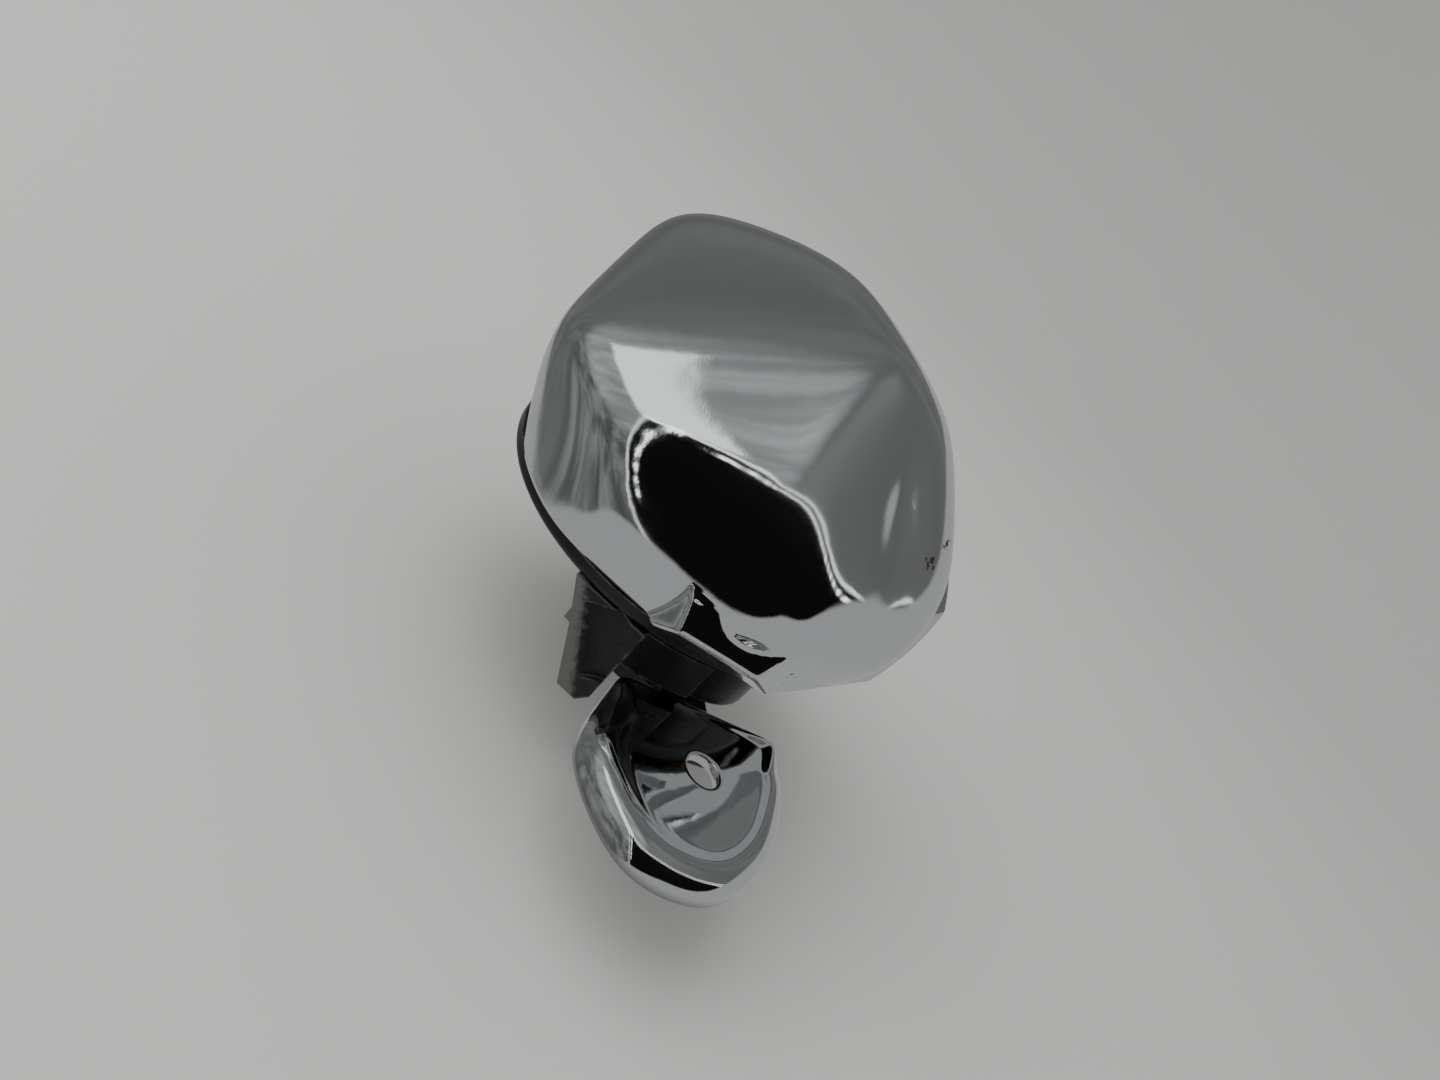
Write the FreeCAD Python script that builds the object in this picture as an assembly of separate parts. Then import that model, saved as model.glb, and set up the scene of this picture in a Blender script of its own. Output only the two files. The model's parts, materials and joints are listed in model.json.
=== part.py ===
import FreeCAD, Part
import math
import os

# Faceted bicycle bell: a chromed gong over a black tray, worked by a thumb lever.
# Origin on the handlebar bore axis (+X); +Z is up the gong axis; the thumb lever is on the -Y side.

os.makedirs("parts", exist_ok=True)

V = FreeCAD.Vector
UP = V(0, 0, 1)

# ---- handlebar clamp ----
BAR_R = 11.1          # 22.2 mm handlebar
LINER_T = 1.0
CLAMP_W = 15.0        # width along the bar
SPLIT = 0.5           # half the gap between the clamp halves
CHEEK_Y = 13.8        # half width of the saddle cheeks
EAR_Y = 22.0
EAR_T = 3.5
SCREW_Y = 18.0
SCREW_R = 2.0         # M4 screws
STRAP_R = 14.6
NUT_FLATS = 7.0

# ---- gong axis and levels ----
AXIS_Y = -22.0
TRAY_Z = 15.0
TRAY_T = 2.0
TRAY_R = 31.6
TRAY_C = (-3.0, -22.0)
LIP_T = 1.1
LIP_H = 0.7
RIM_Z = 18.3
WALL = 1.5
POST_R = 3.0
POST_TOP = 57.0
BOSS_R = 7.0
BOSS_Z = 52.0

# ---- lever, housing ----
PIVOT = (11.0, -36.0)
PIN_R = 2.0
HUB_R = 4.6
RUN = 0.05            # radial running clearance
ARM_Z = 2.0
ARM_T = 2.2
PAD_Z = 6.5           # top of the thumb pad
PAD_T = 2.1
PAD_DROP = 5.2        # height of the rolled edge
PAD_HOLE = (23.3, -54.9)
PAD_HOLE_R = 2.75
DECK_Z = 8.0          # underside of the housing block
DECK_R = 11.0
CHEEK_FRONT = -53.4
SCOOP_R = 6.0         # hollow down the outer face of the cheek
SCOOP_DEPTH = 1.2

# ---- gear train ----
MODULE = 0.8
SECTOR_T = 40
PINION_T = 10
WHEEL_T = 30
ROTOR_T = 12
ARBOR = (15.9, -16.6)
ARBOR_R = 1.5
STRIKER_AT = 24.5
RING_R = 4.8
RING_BORE = 2.4
RING_Z = 24.0
RING_T = 3.0
ANVIL_AT = 30.4

# ---- gong facets: azimuth, elevation, distance from the gong centre ----
GONG_C = (0.0, AXIS_Y, 24.0)
SHARP = 20.0
FACETS = (
    (40, 68, 36.6),
    (-135, 58, 34.6),
    (-103, 47, 33.9),
    (-43, 42, 33.8),
    (17, 40, 35.0),
    (85, 46, 35.0),
    (132, 56, 43.4),
    (-172, 2, 37.8),
    (-127, -12, 35.3),
    (-88, 13, 34.6),
    (-38, 9, 36.3),
    (5, 8, 35.8),
    (45, 4, 35.0),
    (95, 4, 36.0),
    (140, 4, 37.5),
    (-90, -22, 31.8),
    (-45, -30, 29.6),
    (-5, -22, 32.8),
    (50, -22, 32.0),
    (120, -22, 32.5),
    (-160, -24, 33.2),
)
DISH = (20.3, -36.4, 46.5)            # middle of the shallow oval dish
DISH_AXIS = (0.59, -0.395, -0.705)
DISH_SIDE = (0.663, 0.735, 0.143)
DISH_SIZE = (9.0, 4.2)
DISH_DEPTH = 1.3
FLAT_TURN = -70.0     # raised flat on the lower band, beside the lever
FLAT_PROFILE = ((26.0, 28.8), (34.0, 28.8), (36.8, 22.2), (32.6, RIM_Z), (26.0, RIM_Z))
FLAT_PLAN = ((26.0, -12.0), (34.0, -9.6), (37.5, -7.0), (37.5, 6.5), (34.0, 10.5), (26.0, 13.0))
SECTION_LEAN = -0.16  # the section centre shifts sideways per mm of height
POINTS = 56


def save(shape, name):
    shape.exportStep("parts/" + name + ".step")


def cyl(x, y, z, r, h):
    return Part.makeCylinder(r, h, V(x, y, z), UP)


def tube(x, y, z, r_out, r_in, h):
    return cyl(x, y, z, r_out, h).cut(cyl(x, y, z - 1, r_in, h + 2))


def block(x0, x1, y0, y1, z0, z1):
    return Part.makeBox(x1 - x0, y1 - y0, z1 - z0, V(x0, y0, z0))


def fuse(shapes):
    return shapes[0].multiFuse(shapes[1:]).removeSplitter()


def polar(centre, r, degrees):
    a = math.radians(degrees)
    return (centre[0] + r * math.cos(a), centre[1] + r * math.sin(a))


def bearing(p, q):
    return math.degrees(math.atan2(q[1] - p[1], q[0] - p[0]))


def prism(points, z, h):
    wire = Part.makePolygon([V(x, y, z) for x, y in points + points[:1]])
    return Part.Face(wire).extrude(V(0, 0, h))


def round_edges(shape, r, keep):
    edges = [e for e in shape.Edges if keep(e)]
    try:
        out = shape.makeFillet(r, edges)
        return out if out.isValid() else shape
    except Exception:
        return shape


def at_z(level):
    return lambda e: abs(e.BoundBox.ZMin - level) < 1e-3 and abs(e.BoundBox.ZMax - level) < 1e-3


# ---------- gears ----------
def tooth(centre, r, degrees, z, h):
    """One straight-sided tooth on pitch radius r."""
    half = (0.88, 0.45, 0.2)
    radii = (r - 0.95, r, r + 0.7)
    pts = []
    for side in (1, -1):
        rows = list(zip(radii, half)) if side == 1 else list(zip(radii, half))[::-1]
        for rad, w in rows:
            turn = degrees + side * math.degrees(w / rad)
            pts.append(polar(centre, rad, turn))
    return prism(pts, z, h)


def gear(centre, teeth, phase, z, h, bore):
    r = MODULE * teeth / 2
    body = cyl(centre[0], centre[1], z, r - 0.85, h)
    step = 360.0 / teeth
    parts = [body] + [tooth(centre, r, phase + i * step, z, h) for i in range(teeth)]
    return fuse(parts).cut(cyl(centre[0], centre[1], z - 1, bore, h + 2))


# ---------- gong surface ----------
def facet_rows():
    rows = []
    for az, el, dist in FACETS:
        a = math.radians(az)
        e = math.radians(el)
        flat = math.cos(e)
        rows.append((flat * math.cos(a), flat * math.sin(a), math.sin(e), dist))
    return rows


ROWS = facet_rows()


def inside(x, y, z, inset):
    total = 0.0
    for nx, ny, nz, dist in ROWS:
        reach = nx * (x - GONG_C[0]) + ny * (y - GONG_C[1]) + nz * (z - GONG_C[2])
        if reach > 0:
            total += (reach / (dist - inset)) ** SHARP
    return total < 1.0


def section_x(z):
    return SECTION_LEAN * (z - RIM_Z)


def dish_depth(x, y, z):
    off = (x - DISH[0], y - DISH[1], z - DISH[2])
    along = sum(a * b for a, b in zip(off, DISH_AXIS)) / DISH_SIZE[0]
    across = sum(a * b for a, b in zip(off, DISH_SIDE)) / DISH_SIZE[1]
    return DISH_DEPTH * math.exp(-along * along - across * across)


def gong_radius(z, angle, inset):
    cx = section_x(z)
    lo = 0.0
    hi = 60.0
    for _ in range(26):
        mid = (lo + hi) / 2
        if inside(cx + mid * math.cos(angle), AXIS_Y + mid * math.sin(angle), z, inset):
            lo = mid
        else:
            hi = mid
    x = cx + lo * math.cos(angle)
    y = AXIS_Y + lo * math.sin(angle)
    return lo - dish_depth(x, y, z)


def gong_top(inset):
    lo = GONG_C[2]
    hi = GONG_C[2] + 60.0
    for _ in range(30):
        mid = (lo + hi) / 2
        if inside(section_x(mid), AXIS_Y, mid, inset):
            lo = mid
        else:
            hi = mid
    return lo


def section(z, inset, dz=0.0):
    pts = []
    for i in range(POINTS):
        a = 2 * math.pi * i / POINTS
        r = gong_radius(z, a, inset)
        pts.append(V(section_x(z) + r * math.cos(a), AXIS_Y + r * math.sin(a), z + dz))
    curve = Part.BSplineCurve()
    curve.interpolate(Points=pts, PeriodicFlag=True)
    return Part.Wire([curve.toShape()])


def gong_body(inset, drop):
    top = gong_top(inset)
    steps = (0.0, 0.1, 0.22, 0.36, 0.5, 0.62, 0.73, 0.82, 0.89, 0.94, 0.972, 0.99)
    levels = [RIM_Z + s * (top - RIM_Z) for s in steps]
    wires = [section(z, inset) for z in levels]
    if drop:
        wires.insert(0, section(RIM_Z, inset, -drop))
    return Part.makeLoft(wires, True, False)


gong_outer = gong_body(0.0, 0.0)
gong_inner = gong_body(WALL, 2.0)
flat_wire = Part.makePolygon([V(x, -14.0, z) for x, z in FLAT_PROFILE + FLAT_PROFILE[:1]])
flat = Part.Face(flat_wire).extrude(V(0, 28.0, 0)).common(prism(list(FLAT_PLAN), RIM_Z, 12.0))
flat = round_edges(flat, 0.8, lambda e: e.BoundBox.XMin > 33)
flat.rotate(V(0, 0, 0), UP, FLAT_TURN)
flat.translate(V(0, AXIS_Y, 0))
gong = gong_outer.fuse(flat).cut(gong_inner)
save(gong, "gong_dome")

boss = cyl(0, AXIS_Y, BOSS_Z, BOSS_R, gong_top(WALL) - BOSS_Z + 0.6).common(gong_inner)
boss = max(boss.Solids, key=lambda s: s.Volume)
save(boss.cut(cyl(0, AXIS_Y, BOSS_Z - 1, POST_R, POST_TOP - BOSS_Z + 1)), "gong_boss")

for label, turn in (("a", 20), ("b", 200)):
    bump = block(ANVIL_AT, 40, -3, 3, RING_Z, RING_Z + RING_T + 0.5)
    bump.rotate(V(0, 0, 0), UP, turn)
    bump.translate(V(0, AXIS_Y, 0))
    bump = bump.common(gong_inner)
    save(bump, "anvil_" + label)

# ---------- tray and post ----------
tray = cyl(TRAY_C[0], TRAY_C[1], TRAY_Z, TRAY_R, TRAY_T + LIP_H)
tray = round_edges(tray, 1.2, at_z(TRAY_Z))
tray = tray.cut(cyl(TRAY_C[0], TRAY_C[1], TRAY_Z + TRAY_T, TRAY_R - LIP_T, LIP_H + 1))
BUSH_R = 3.2
RIVETS = ((-3.0, -44.0), (3.0, -28.0))
SADDLE_SCREWS = ((-5.0, -8.0), (3.5, 4.5))
holes = [cyl(0, AXIS_Y, TRAY_Z - 1, POST_R, 4)]
holes.append(cyl(ARBOR[0], ARBOR[1], TRAY_Z - 1, BUSH_R, 4))
holes.append(cyl(PIVOT[0], PIVOT[1], TRAY_Z - 1, PIN_R, 4))
for x, y in RIVETS + SADDLE_SCREWS:
    holes.append(cyl(x, y, TRAY_Z - 1, 1.5, 4))
for hole in holes:
    tray = tray.cut(hole)
save(tray, "base_tray")

post = cyl(0, AXIS_Y, TRAY_Z - 1.5, POST_R, POST_TOP - TRAY_Z + 1.5)
post = post.fuse(cyl(0, AXIS_Y, TRAY_Z + TRAY_T, 3.8, 1.0))
post = post.fuse(cyl(0, AXIS_Y, TRAY_Z - 1.5, 4.6, 1.5)).removeSplitter()
post = round_edges(post, 0.5, at_z(POST_TOP))
save(post, "centre_post")

# ---------- saddle, strap, liners ----------
def ring_half(r_out, r_in, sign, width):
    ring = Part.makeCylinder(r_out, width, V(-width / 2, 0, 0), V(1, 0, 0))
    ring = ring.cut(Part.makeCylinder(r_in, width + 2, V(-width / 2 - 1, 0, 0), V(1, 0, 0)))
    if sign > 0:
        return ring.common(block(-30, 30, -40, 40, SPLIT, 40))
    return ring.common(block(-30, 30, -40, 40, -40, -SPLIT))


half = CLAMP_W / 2
bore = Part.makeCylinder(BAR_R + LINER_T, 40, V(-20, 0, 0), V(1, 0, 0))
saddle = block(-half, half, -CHEEK_Y, CHEEK_Y, SPLIT, TRAY_Z)
saddle = fuse([saddle, block(-half, half, -EAR_Y, EAR_Y, SPLIT, SPLIT + EAR_T)]).cut(bore)
corners = lambda e: e.BoundBox.ZLength > 3 and e.BoundBox.XLength < 0.01 and e.BoundBox.YLength < 0.01
saddle = round_edges(saddle, 1.5, lambda e: corners(e) and abs(e.BoundBox.YMin) > CHEEK_Y + 1)
strap = ring_half(STRAP_R, BAR_R + LINER_T, -1, CLAMP_W)
ears = block(-half, half, -EAR_Y, EAR_Y, -SPLIT - EAR_T, -SPLIT).cut(bore)
strap = fuse([strap, ears])
strap = round_edges(strap, 1.5, lambda e: corners(e) and abs(e.BoundBox.YMin) > CHEEK_Y + 1)
for y in (-SCREW_Y, SCREW_Y):
    drill = cyl(0, y, -20, SCREW_R, 30)
    saddle = saddle.cut(drill)
    strap = strap.cut(drill)
for x, y in SADDLE_SCREWS:
    saddle = saddle.cut(cyl(x, y, TRAY_Z - 2.6, 1.5, 5))
save(saddle, "saddle_block")
save(strap, "clamp_strap")
save(ring_half(BAR_R + LINER_T, BAR_R, 1, CLAMP_W), "liner_upper")
save(ring_half(BAR_R + LINER_T, BAR_R, -1, CLAMP_W), "liner_lower")


def hexagon(x, y, z, flats, h):
    r = flats / math.sqrt(3)
    return prism([polar((x, y), r, 60 * i) for i in range(6)], z, h)


ear_top = SPLIT + EAR_T
for label, y in (("front", -SCREW_Y), ("rear", SCREW_Y)):
    shank = cyl(0, y, -ear_top, SCREW_R, 2 * ear_top + 3.6)
    head = cyl(0, y, -ear_top - 3.2, 3.6, 3.2)
    head = round_edges(head, 0.6, at_z(-ear_top - 3.2))
    screw = fuse([shank, head])
    screw = screw.cut(hexagon(0, y, -ear_top - 3.3, 3.0, 1.9))
    save(screw, "clamp_screw_" + label)
    nut = hexagon(0, y, ear_top, NUT_FLATS, 3.0).cut(cyl(0, y, 0, SCREW_R, 20))
    save(nut, "clamp_nut_" + label)

for label, (x, y) in zip(("a", "b"), SADDLE_SCREWS):
    screw = cyl(x, y, TRAY_Z - 2.4, 1.5, 2.4 + TRAY_T)
    dome = cyl(x, y, TRAY_Z + TRAY_T, 2.6, 1.0)
    save(fuse([screw, round_edges(dome, 0.7, at_z(TRAY_Z + TRAY_T + 1.0))]), "saddle_rivet_" + label)

# ---------- lever housing ----------
px, py = PIVOT
def upright(corners, y, depth):
    wire = Part.makePolygon([V(x, y, z) for x, z in corners + corners[:1]])
    return Part.Face(wire).extrude(V(0, depth, 0))


cheek = ((-8.4, 15.0), (-5.0, 8.6), (-1.2, 2.2), (0.2, -0.4), (1.2, -1.2), (3.0, -1.2), (4.4, 0.8), (4.4, 15.0))
front = upright(cheek, CHEEK_FRONT, 9.4)
wall = upright(((-8.4, 15.0), (-5.0, 8.6), (-0.4, -1.2), (3.0, -1.2), (3.0, 15.0)), CHEEK_FRONT, 23.4)
deck = fuse([cyl(px, py, DECK_Z, DECK_R, TRAY_Z - DECK_Z), block(-6, px, -47.0, -27.2, DECK_Z, TRAY_Z)])
brow = block(-6, 15.0, -54.0, -46.0, DECK_Z, TRAY_Z)
brow = brow.common(cyl(TRAY_C[0], TRAY_C[1], DECK_Z, TRAY_R - 0.5, TRAY_Z - DECK_Z))
foot = fuse([cyl(px, py, -1.2, 6.0, 2.8), block(-3, px, -42, -30, -1.2, 1.6)])
housing = fuse([wall, front, deck, brow, foot])
hollow_y = CHEEK_FRONT - SCOOP_R + SCOOP_DEPTH
scoop = Part.makeCylinder(SCOOP_R, 12.0, V(-2.0, hollow_y, 14.4), V(0.488, 0, -0.873))
housing = housing.cut(scoop)
housing = housing.cut(cyl(px, py, DECK_Z - 1, 6.2, 6.4))
housing = housing.cut(block(px - 4.0, px + 4.0, -43.6, py, DECK_Z + 0.9, DECK_Z + 5.4))
housing = housing.cut(cyl(px, py, -5, PIN_R, 30))
for x, y in RIVETS:
    housing = housing.cut(cyl(x, y, TRAY_Z - 4, 1.5, 6))
housing = max(housing.Solids, key=lambda s: s.Volume)
save(housing, "lever_housing")

pin = fuse([cyl(px, py, -2.4, PIN_R, TRAY_Z + TRAY_T + 2.4), cyl(px, py, TRAY_Z + TRAY_T, 3.2, 0.8)])
save(pin, "pivot_pin")
clip = tube(px, py, -2.0, 3.6, PIN_R, 0.7).cut(block(px - 1.4, px + 1.4, py - 6, py, -3, 0))
save(clip, "pivot_clip")
for label, (x, y) in zip(("a", "b"), RIVETS):
    rivet = cyl(x, y, TRAY_Z - 3.8, 1.5, 3.8 + TRAY_T)
    top = round_edges(cyl(x, y, TRAY_Z + TRAY_T, 2.6, 0.9), 0.6, at_z(TRAY_Z + TRAY_T + 0.9))
    save(fuse([rivet, top]), "housing_rivet_" + label)

# ---------- thumb lever ----------
PAD_CORNERS = ((5.6, -51.5), (8.0, -66.4), (21.2, -75.6), (33.2, -71.4), (38.2, -59.4), (36.4, -45.2), (30.8, -37.4))


def pad_outline(inset):
    pts = [V(x, y, 0) for x, y in PAD_CORNERS]
    middle = V(22.0, -55.0, 0)
    moved = [p + (middle - p).normalize() * inset for p in pts]
    curve = Part.BSplineCurve()
    curve.interpolate(Points=moved)
    chord = Part.makeLine(moved[-1], moved[0])
    return Part.Face(Part.Wire([curve.toShape(), chord]))


pad = pad_outline(0.0).extrude(V(0, 0, PAD_DROP))
pad.translate(V(0, 0, PAD_Z - PAD_DROP))
curved = lambda e: at_z(PAD_Z)(e) and e.Length > 45
pad = round_edges(pad, 2.0, curved)
hollow = pad_outline(2.4).extrude(V(0, 0, PAD_DROP))
hollow.translate(V(0, 0, PAD_Z - PAD_T - PAD_DROP))
slot = prism([(5.0, -50.5), (31.5, -36.0), (28.5, -31.0), (2.0, -45.0)], PAD_Z - PAD_T - PAD_DROP, PAD_DROP)
slot.translate(V(1.4, -2.6, 0))
pad = pad.cut(hollow).cut(slot)
pad = pad.cut(cyl(PAD_HOLE[0], PAD_HOLE[1], 0, PAD_HOLE_R, 10))
LEVER_RIVETS = ((17.5, -46.4), (21.0, -48.4))
for x, y in LEVER_RIVETS:
    pad = pad.cut(cyl(x, y, 0, 1.1, PAD_Z - 0.8))
pad = max(pad.Solids, key=lambda s: s.Volume)
save(pad, "thumb_lever")

swing = math.radians(bearing(PIVOT, (22.0, -52.0)))
side = (-math.sin(swing), math.cos(swing))
ahead = (math.cos(swing), math.sin(swing))


def arm_point(along, across):
    return (px + along * ahead[0] + across * side[0], py + along * ahead[1] + across * side[1])


arm = prism([arm_point(0, -4.2), arm_point(18, -4.2), arm_point(18, 4.2), arm_point(0, 4.2)], ARM_Z, ARM_T)
arm = fuse([arm, cyl(px, py, ARM_Z, HUB_R, 5.6)])
arm = arm.cut(cyl(px, py, ARM_Z - 1, PIN_R + RUN, 9))
for x, y in LEVER_RIVETS:
    arm = arm.cut(cyl(x, y, ARM_Z - 1, 1.1, 5))
save(arm, "lever_arm")
for label, (x, y) in zip(("a", "b"), LEVER_RIVETS):
    rivet = fuse([cyl(x, y, ARM_Z - 0.7, 1.9, 0.7), cyl(x, y, ARM_Z, 1.1, PAD_Z - 0.8 - ARM_Z)])
    save(rivet, "lever_rivet_" + label)

# ---------- sector gear on the lever hub ----------
to_arbor = bearing(PIVOT, ARBOR)
sector_r = MODULE * SECTOR_T / 2
sector_z = 4.7
step = 360.0 / SECTOR_T
first = -4
last = 1
fan = [polar(PIVOT, sector_r - 0.8, to_arbor + (first - 0.6) * step + i * 2.0) for i in range(28)]
fan = [p for i, p in enumerate(fan) if (first - 0.6) * step + i * 2.0 <= (last + 0.6) * step]
web = prism([polar(PIVOT, 3.0, to_arbor - 75)] + fan + [polar(PIVOT, 3.0, to_arbor + 60)], sector_z, 2.2)
parts = [web, cyl(px, py, sector_z, HUB_R + 1.9, 2.2)]
parts += [tooth(PIVOT, sector_r, to_arbor + k * step, sector_z, 2.2) for k in range(first, last + 1)]
sector = fuse(parts).cut(cyl(px, py, 0, HUB_R, 20))
save(max(sector.Solids, key=lambda s: s.Volume), "sector_gear")

# ---------- return spring ----------
COIL_R = 4.4
WIRE_R = 0.45
helix = Part.makeHelix(1.15, 3.6, COIL_R)
profile = Part.Wire(Part.makeCircle(WIRE_R, V(COIL_R, 0, 0), V(0, 1, 0)))
coil = Part.Wire(helix.Edges).makePipeShell([profile], True, True)
coil.translate(V(px, py, DECK_Z + 1.2))
save(coil, "lever_spring")

# ---------- intermediate arbor ----------
ax, ay = ARBOR
phase = bearing(ARBOR, PIVOT) + 180.0 / PINION_T
save(cyl(ax, ay, 4.0, ARBOR_R, 16.6), "arbor_shaft")
pinion = gear(ARBOR, PINION_T, phase, 4.6, 2.6, ARBOR_R)
pinion = pinion.fuse(tube(ax, ay, 7.2, 2.9, ARBOR_R, 3.3)).removeSplitter()
save(pinion, "arbor_pinion")
bush = fuse([cyl(ax, ay, 11.0, BUSH_R, 6.0), cyl(ax, ay, 17.0, 4.0, 0.7)])
save(bush.cut(cyl(ax, ay, 0, ARBOR_R + RUN, 40)), "arbor_bush")
wheel = gear(ARBOR, WHEEL_T, bearing(ARBOR, (0, AXIS_Y)), 18.2, 1.6, ARBOR_R)
for i in range(5):
    hx, hy = polar(ARBOR, 6.8, 72 * i + 10)
    wheel = wheel.cut(cyl(hx, hy, 17, 2.3, 5))
save(wheel, "arbor_wheel")

# ---------- rotor and strikers ----------
hub_phase = bearing((0, AXIS_Y), ARBOR) + 180.0 / ROTOR_T
save(gear((0, AXIS_Y), ROTOR_T, hub_phase, 18.3, 3.7, POST_R + RUN), "rotor_pinion")
bar = block(-3.4, 3.4, AXIS_Y - STRIKER_AT, AXIS_Y + STRIKER_AT, 22.0, 23.6)
ends = [cyl(0, AXIS_Y + s * STRIKER_AT, 22.0, 3.4, 1.6) for s in (-1, 1)]
arm = fuse([bar, cyl(0, AXIS_Y, 22.0, 7.5, 1.6)] + ends).cut(cyl(0, AXIS_Y, 20, POST_R + RUN, 6))
for s in (-1, 1):
    arm = arm.cut(cyl(0, AXIS_Y + s * STRIKER_AT, 20, 1.5, 6))
save(arm, "rotor_arm")
for label, s in (("a", -1), ("b", 1)):
    y = AXIS_Y + s * STRIKER_AT
    pin = fuse([cyl(0, y, 22.0, 1.5, 5.4), cyl(0, y, RING_Z + RING_T + 0.4, 3.2, 0.9)])
    save(pin, "striker_pin_" + label)
    ring = tube(0, y, RING_Z, RING_R, RING_BORE, RING_T)
    ring = round_edges(ring, 0.6, lambda e: e.Curve.TypeId == "Part::GeomCircle" and e.Curve.Radius > 4)
    save(ring, "striker_ring_" + label)
save(tube(0, AXIS_Y, 24.0, 5.4, POST_R, 0.9), "rotor_clip")
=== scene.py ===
import bpy, json, math
import numpy as np
from mathutils import Matrix, Vector


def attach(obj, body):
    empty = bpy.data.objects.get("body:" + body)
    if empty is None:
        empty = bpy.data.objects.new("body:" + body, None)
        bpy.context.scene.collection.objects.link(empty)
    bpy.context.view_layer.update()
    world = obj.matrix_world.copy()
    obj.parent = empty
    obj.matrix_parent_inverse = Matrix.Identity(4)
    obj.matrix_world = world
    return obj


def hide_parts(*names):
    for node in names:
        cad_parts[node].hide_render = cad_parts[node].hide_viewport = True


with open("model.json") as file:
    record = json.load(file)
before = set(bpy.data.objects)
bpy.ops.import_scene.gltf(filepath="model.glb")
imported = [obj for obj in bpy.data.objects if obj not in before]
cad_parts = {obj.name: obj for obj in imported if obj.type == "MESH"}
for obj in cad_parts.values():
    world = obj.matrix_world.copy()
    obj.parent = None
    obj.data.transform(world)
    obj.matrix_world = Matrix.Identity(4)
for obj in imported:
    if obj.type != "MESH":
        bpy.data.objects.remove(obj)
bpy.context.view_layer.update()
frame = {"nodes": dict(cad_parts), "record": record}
nodes = frame["nodes"]
mm = 0.001
print("loaded", len(nodes), "nodes")


# node helpers
def pick(sockets, name):
    return next(s for s in sockets if s.name == name and s.enabled)


def add(tree, kind, values=None, **settings):
    node = tree.nodes.new(kind)
    for key, value in settings.items():
        setattr(node, key, value)
    for key, value in (values or {}).items():
        spot = node.inputs[key] if isinstance(key, int) else pick(node.inputs, key)
        spot.default_value = value
    return node


def join(tree, source, target):
    tree.links.new(source, target)


def maths(tree, operation, a, b=None, clamp=False):
    node = add(tree, "ShaderNodeMath", operation=operation, use_clamp=clamp)
    for spot, value in zip(node.inputs, (a, b)):
        if value is None:
            continue
        if isinstance(value, (int, float)):
            spot.default_value = value
        else:
            join(tree, value, spot)
    return node.outputs[0]


def ramp(tree, value, low, high, outLow=0.0, outHigh=1.0):
    ends = {1: low, 2: high, 3: outLow, 4: outHigh}
    node = add(tree, "ShaderNodeMapRange", ends, interpolation_type="SMOOTHSTEP")
    join(tree, value, node.inputs[0])
    return node.outputs[0]


def shaderGroup(name, inputs, outputs):
    group = bpy.data.node_groups.new(name, "ShaderNodeTree")
    for label, kind, value in inputs:
        spot = group.interface.new_socket(label, in_out="INPUT", socket_type=kind)
        if value is not None:
            spot.default_value = value
    for label, kind in outputs:
        group.interface.new_socket(label, in_out="OUTPUT", socket_type=kind)
    return group, group.nodes.new("NodeGroupInput"), group.nodes.new("NodeGroupOutput")


# shared effects
def makeSpotGroup():
    # ragged patches round a point, for chips and pits
    group, start, end = shaderGroup(
        "raggedSpots",
        [("Place", "NodeSocketVector", None), ("Centre", "NodeSocketVector", None),
         ("Reach", "NodeSocketFloat", 0.006), ("Scale", "NodeSocketFloat", 600.0),
         ("Cover", "NodeSocketFloat", 0.5)],
        [("Mask", "NodeSocketFloat")])
    gap = add(group, "ShaderNodeVectorMath", operation="DISTANCE")
    join(group, start.outputs["Place"], gap.inputs[0])
    join(group, start.outputs["Centre"], gap.inputs[1])
    near = maths(group, "DIVIDE", gap.outputs["Value"], start.outputs["Reach"])
    near = ramp(group, near, 0.0, 1.0, 1.0, 0.0)
    noise = add(group, "ShaderNodeTexNoise", {"Detail": 4.0, "Roughness": 0.6})
    join(group, start.outputs["Place"], noise.inputs["Vector"])
    join(group, start.outputs["Scale"], noise.inputs["Scale"])
    limit = maths(group, "MULTIPLY", near, start.outputs["Cover"])
    limit = maths(group, "SUBTRACT", 1.0, limit)
    over = maths(group, "SUBTRACT", noise.outputs["Fac"], limit)
    join(group, ramp(group, over, 0.0, 0.015), end.inputs["Mask"])
    return group


def makeGrainGroup():
    # fine grain and slow waviness as a normal
    group, start, end = shaderGroup(
        "surfaceGrain",
        [("Place", "NodeSocketVector", None), ("Fine scale", "NodeSocketFloat", 2500.0),
         ("Fine depth", "NodeSocketFloat", 0.1), ("Wave scale", "NodeSocketFloat", 60.0),
         ("Wave depth", "NodeSocketFloat", 0.05)],
        [("Normal", "NodeSocketVector"), ("Cloud", "NodeSocketFloat")])
    last = None
    cloud = None
    for scale, depth, size in (("Wave scale", "Wave depth", 0.002), ("Fine scale", "Fine depth", 0.0002)):
        noise = add(group, "ShaderNodeTexNoise", {"Detail": 3.0})
        join(group, start.outputs["Place"], noise.inputs["Vector"])
        join(group, start.outputs[scale], noise.inputs["Scale"])
        bump = add(group, "ShaderNodeBump", {"Distance": size})
        join(group, start.outputs[depth], bump.inputs["Strength"])
        join(group, noise.outputs["Fac"], bump.inputs["Height"])
        if last:
            join(group, last, bump.inputs["Normal"])
        last = bump.outputs["Normal"]
        cloud = cloud or noise.outputs["Fac"]
    join(group, last, end.inputs["Normal"])
    join(group, cloud, end.inputs["Cloud"])
    return group


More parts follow.
